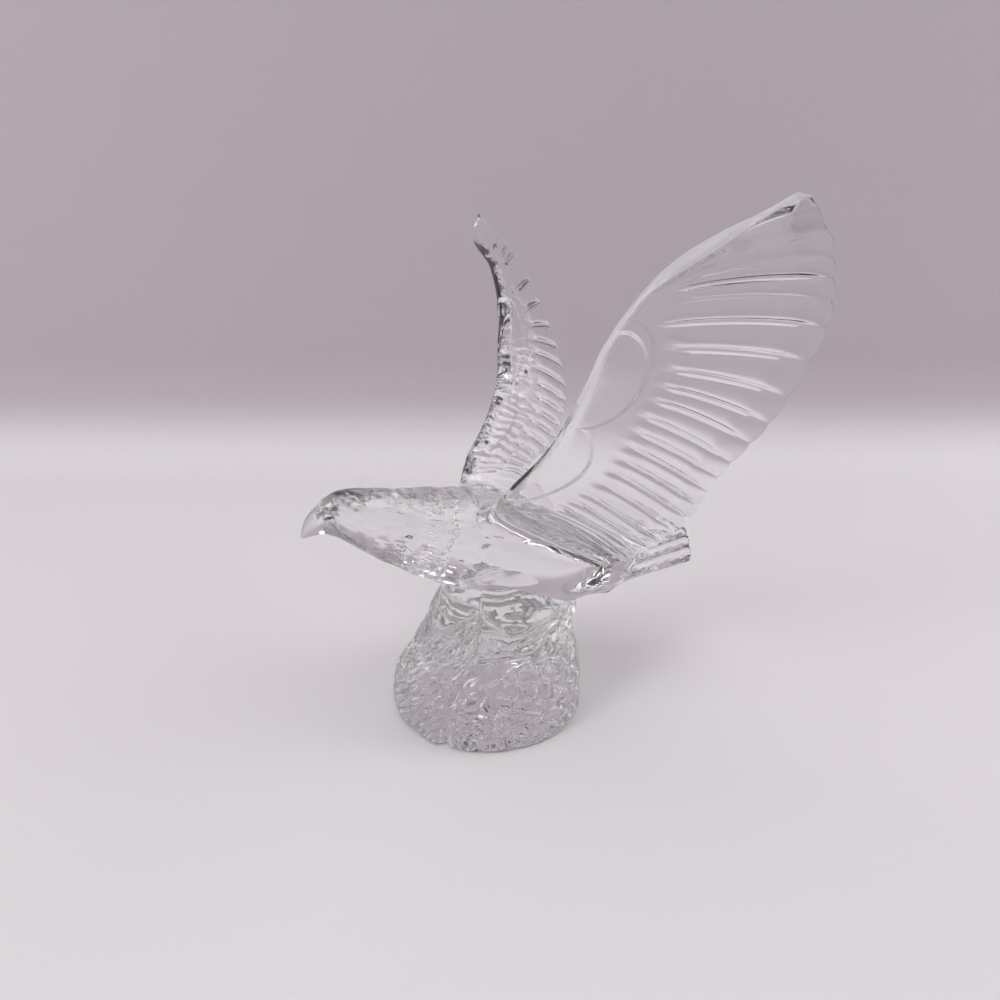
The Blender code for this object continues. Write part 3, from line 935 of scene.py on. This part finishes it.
class EAGLE_OT_crystal(bpy.types.Operator):
    """Makes the whole eagle and its rock as one piece of crystal"""

    bl_idname = "eagle.crystal"
    bl_label = "Crystal eagle"

    def execute(self, context):
        sizes = context.scene.crystal_sizes
        eagle = closed_mesh("crystal_figure", body_rings(sizes))
        others = [
            closed_mesh("left_wing", wing_rings(sizes, 0.0)),
            closed_mesh("right_wing", wing_rings(sizes, 1.0) * np.array([-1, 1, 1, 1])),
            closed_mesh("tail", tail_rings(sizes)),
            closed_mesh("rock", rock_rings(sizes)),
        ]
        for other in others:
            union = eagle.modifiers.new(other.name, "BOOLEAN")
            union.operation = "UNION"
            union.solver = "MANIFOLD"
            union.object = other
        graph = context.evaluated_depsgraph_get()
        mesh = bpy.data.meshes.new_from_object(eagle.evaluated_get(graph))
        eagle.modifiers.clear()
        eagle.data = mesh
        for other in others:
            bpy.data.objects.remove(other)
        # The union leaves an empty slot for each of the forms.
        mesh.materials.clear()
        mesh.materials.append(crystal_material(context.scene.crystal_finish))
        mesh.polygons.foreach_set("material_index", np.zeros(len(mesh.polygons), int))
        mesh.shade_smooth()
        mesh.set_sharp_from_angle(angle=np.radians(48))
        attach(eagle, "root")
        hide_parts("crystal_eagle")
        return {"FINISHED"}


def crystal_material(finish):
    """Clear crystal with the faint waves of a pressed surface and streaks on the neck. Where it
    is satin and on the beak it is rough, and partly white: frost on the beak, and a painted
    highlight on the satin band of the left wing."""
    crystal = Material("crystal")
    place = crystal.place()
    back = crystal.add("ShaderNodeSeparateXYZ", inputs={0: place}, output=1)
    up = crystal.add("ShaderNodeSeparateXYZ", inputs={0: place}, output=2)
    beak = crystal.between(back, -0.0455, -0.0475)
    # The satin band's mask: roughness, and a painted highlight on the rim.
    satin_and_highlight = crystal.add("ShaderNodeAttribute", {"attribute_name": "satin_and_highlight"}, output="Fac")
    rough = beak.math("MAXIMUM", beak, satin_and_highlight)
    waves = crystal.add("ShaderNodeTexNoise", inputs={"Vector": place, "Scale": 140.0})
    drawn = crystal.add("ShaderNodeMapping", inputs={"Vector": place, "Scale": (0.5, 0.12, 1.0)})
    streaks = crystal.add("ShaderNodeTexNoise", inputs={"Vector": drawn, "Scale": 800.0})
    on_neck = crystal.between(back, -0.040, -0.024) * crystal.between(back, 0.000, -0.004)
    on_neck = on_neck * crystal.between(up, 0.040, 0.046)
    height = 0.25 * waves + 0.5 * streaks * on_neck
    bump = crystal.add(
        "ShaderNodeBump", inputs={"Height": height, "Strength": 1.0, "Distance": 0.0002}
    )
    crystal.set(
        Base_Color=(*finish.tint, 1),
        Roughness=finish.polish + (finish.frost - finish.polish) * rough,
        Metallic=0.0,
        IOR=finish.refraction,
        Transmission_Weight=finish.clearness,
        Normal=bump,
    )
    # The white shader: frost on the beak, and a painted highlight on the satin band.
    frost_and_highlight = crystal.add(
        "ShaderNodeBsdfPrincipled",
        inputs={
            "Base Color": (*finish.frost_and_highlight_colour, 1),
            "Roughness": FROST_AND_HIGHLIGHT_SPREAD,
            "IOR": finish.refraction,
            "Transmission Weight": FROST_AND_HIGHLIGHT_CLEARNESS,
        },
    )
    # White mixed in: the painted highlight on the satin band, and a little frost on the beak.
    white = finish.frost_and_highlight_share * satin_and_highlight.math("MAXIMUM", satin_and_highlight, 0.3 * beak)
    clear = Socket(crystal, crystal.shader.outputs[0])
    mixed = crystal.add("ShaderNodeMixShader", inputs={0: white, 1: clear, 2: frost_and_highlight})
    crystal.put(crystal.nodes["Material Output"].inputs["Surface"], mixed)
    return crystal.data


class EAGLE_OT_studio(bpy.types.Operator):
    """Makes the floor that turns up into a wall, the lights and the camera"""

    bl_idname = "eagle.studio"
    bl_label = "Pale studio"

    def execute(self, context):
        look = context.scene.studio_look
        make_sweep(look)
        for light in LIGHTS:
            make_light(*light)
        world = bpy.data.worlds.new("room")
        world.use_nodes = True
        world.node_tree.nodes["Background"].inputs["Strength"].default_value = look.world_grey
        world.node_tree.nodes["Background"].inputs["Color"].default_value = (1, 0.98, 1, 1)
        context.scene.world = world
        context.scene.view_settings.view_transform = "Standard"
        camera = bpy.data.objects.new("camera", bpy.data.cameras.new("camera"))
        camera.data.lens = look.lens
        camera.data.sensor_width = 36
        camera.data.clip_start = 0.005
        camera.location = look.camera_place
        aim = Vector(look.camera_aim) - camera.location
        camera.rotation_euler = aim.to_track_quat("-Z", "Y").to_euler()
        context.scene.collection.objects.link(camera)
        context.scene.camera = camera
        return {"FINISHED"}


def make_sweep(look):
    """Floor and wall in one sheet: level, then a quarter circle, then upright, carried
    sideways. It is laid in the camera's direction of view, so the turn is level in the view."""
    away = Vector(look.camera_aim) - Vector(look.camera_place)
    away = np.array([away.x, away.y]) / np.hypot(away.x, away.y)
    bend = 0.06
    arc = np.linspace(0, np.pi / 2, 24)
    wall = look.wall_distance
    back = np.concatenate([[-1.6, -0.4], wall + bend * np.sin(arc), [wall + bend]])
    height = np.concatenate([[0, 0], bend * (1 - np.cos(arc)), [1.4]])
    across = np.linspace(-1.8, 1.8, 13)
    x = away[0] * back[:, None] - away[1] * across
    y = away[1] * back[:, None] + away[0] * across
    z = np.broadcast_to(height[:, None], x.shape)
    points = np.stack([x, y, z - FLOOR_GAP], axis=2).reshape(-1, 3)
    rows, columns = x.shape
    first = (np.arange(rows - 1) * columns)[:, None] + np.arange(columns - 1)
    faces = np.stack([first, first + columns, first + columns + 1, first + 1], axis=2)
    mesh = bpy.data.meshes.new("studio_sweep")
    mesh.from_pydata(points, [], faces.reshape(-1, 4).tolist())
    mesh.shade_smooth()
    sweep = bpy.data.objects.new("studio_sweep", mesh)
    bpy.context.scene.collection.objects.link(sweep)
    paper = Material("studio_paper")
    axes = paper.place()
    height_up = paper.add("ShaderNodeSeparateXYZ", inputs={0: axes}, output=2)
    up = paper.between(height_up, 0.0, 0.038)
    paper.set(Base_Color=paper.mix(up, look.floor_colour, look.wall_colour), Roughness=0.8)
    mesh.materials.append(paper.data)


def make_light(name, place, size, power):
    """A soft box that faces the eagle."""
    data = bpy.data.lights.new(name, "AREA")
    data.shape = "RECTANGLE"
    data.size, data.size_y = size
    data.energy = power
    light = bpy.data.objects.new(name, data)
    light.location = place
    aim = Vector((0, 0, 0.06)) - light.location
    light.rotation_euler = aim.to_track_quat("-Z", "Y").to_euler()
    bpy.context.scene.collection.objects.link(light)


class EAGLE_PT_panel(bpy.types.Panel):
    """Lists the eagle's sizes, finish and studio"""

    bl_label = "Crystal Eagle"
    bl_idname = "EAGLE_PT_panel"
    bl_space_type = "VIEW_3D"
    bl_region_type = "UI"
    bl_category = "Crystal Eagle"

    def draw(self, context):
        for group in (
            context.scene.crystal_sizes,
            context.scene.crystal_finish,
            context.scene.studio_look,
        ):
            box = self.layout.box()
            for name in group.bl_rna.properties.keys():
                if name not in ("rna_type", "name"):
                    box.prop(group, name)
        self.layout.operator("eagle.crystal")
        self.layout.operator("eagle.studio")


CLASSES = (
    CrystalSizes,
    CrystalFinish,
    StudioLook,
    EAGLE_OT_crystal,
    EAGLE_OT_studio,
    EAGLE_PT_panel,
)


def register():
    for kind in CLASSES:
        bpy.utils.register_class(kind)
    bpy.types.Scene.crystal_sizes = bpy.props.PointerProperty(type=CrystalSizes)
    bpy.types.Scene.crystal_finish = bpy.props.PointerProperty(type=CrystalFinish)
    bpy.types.Scene.studio_look = bpy.props.PointerProperty(type=StudioLook)


def unregister():
    del bpy.types.Scene.studio_look
    del bpy.types.Scene.crystal_finish
    del bpy.types.Scene.crystal_sizes
    for kind in reversed(CLASSES):
        bpy.utils.unregister_class(kind)


def main():
    register()
    bpy.ops.eagle.studio()
    bpy.ops.eagle.crystal()


if __name__ == "__main__":
    main()
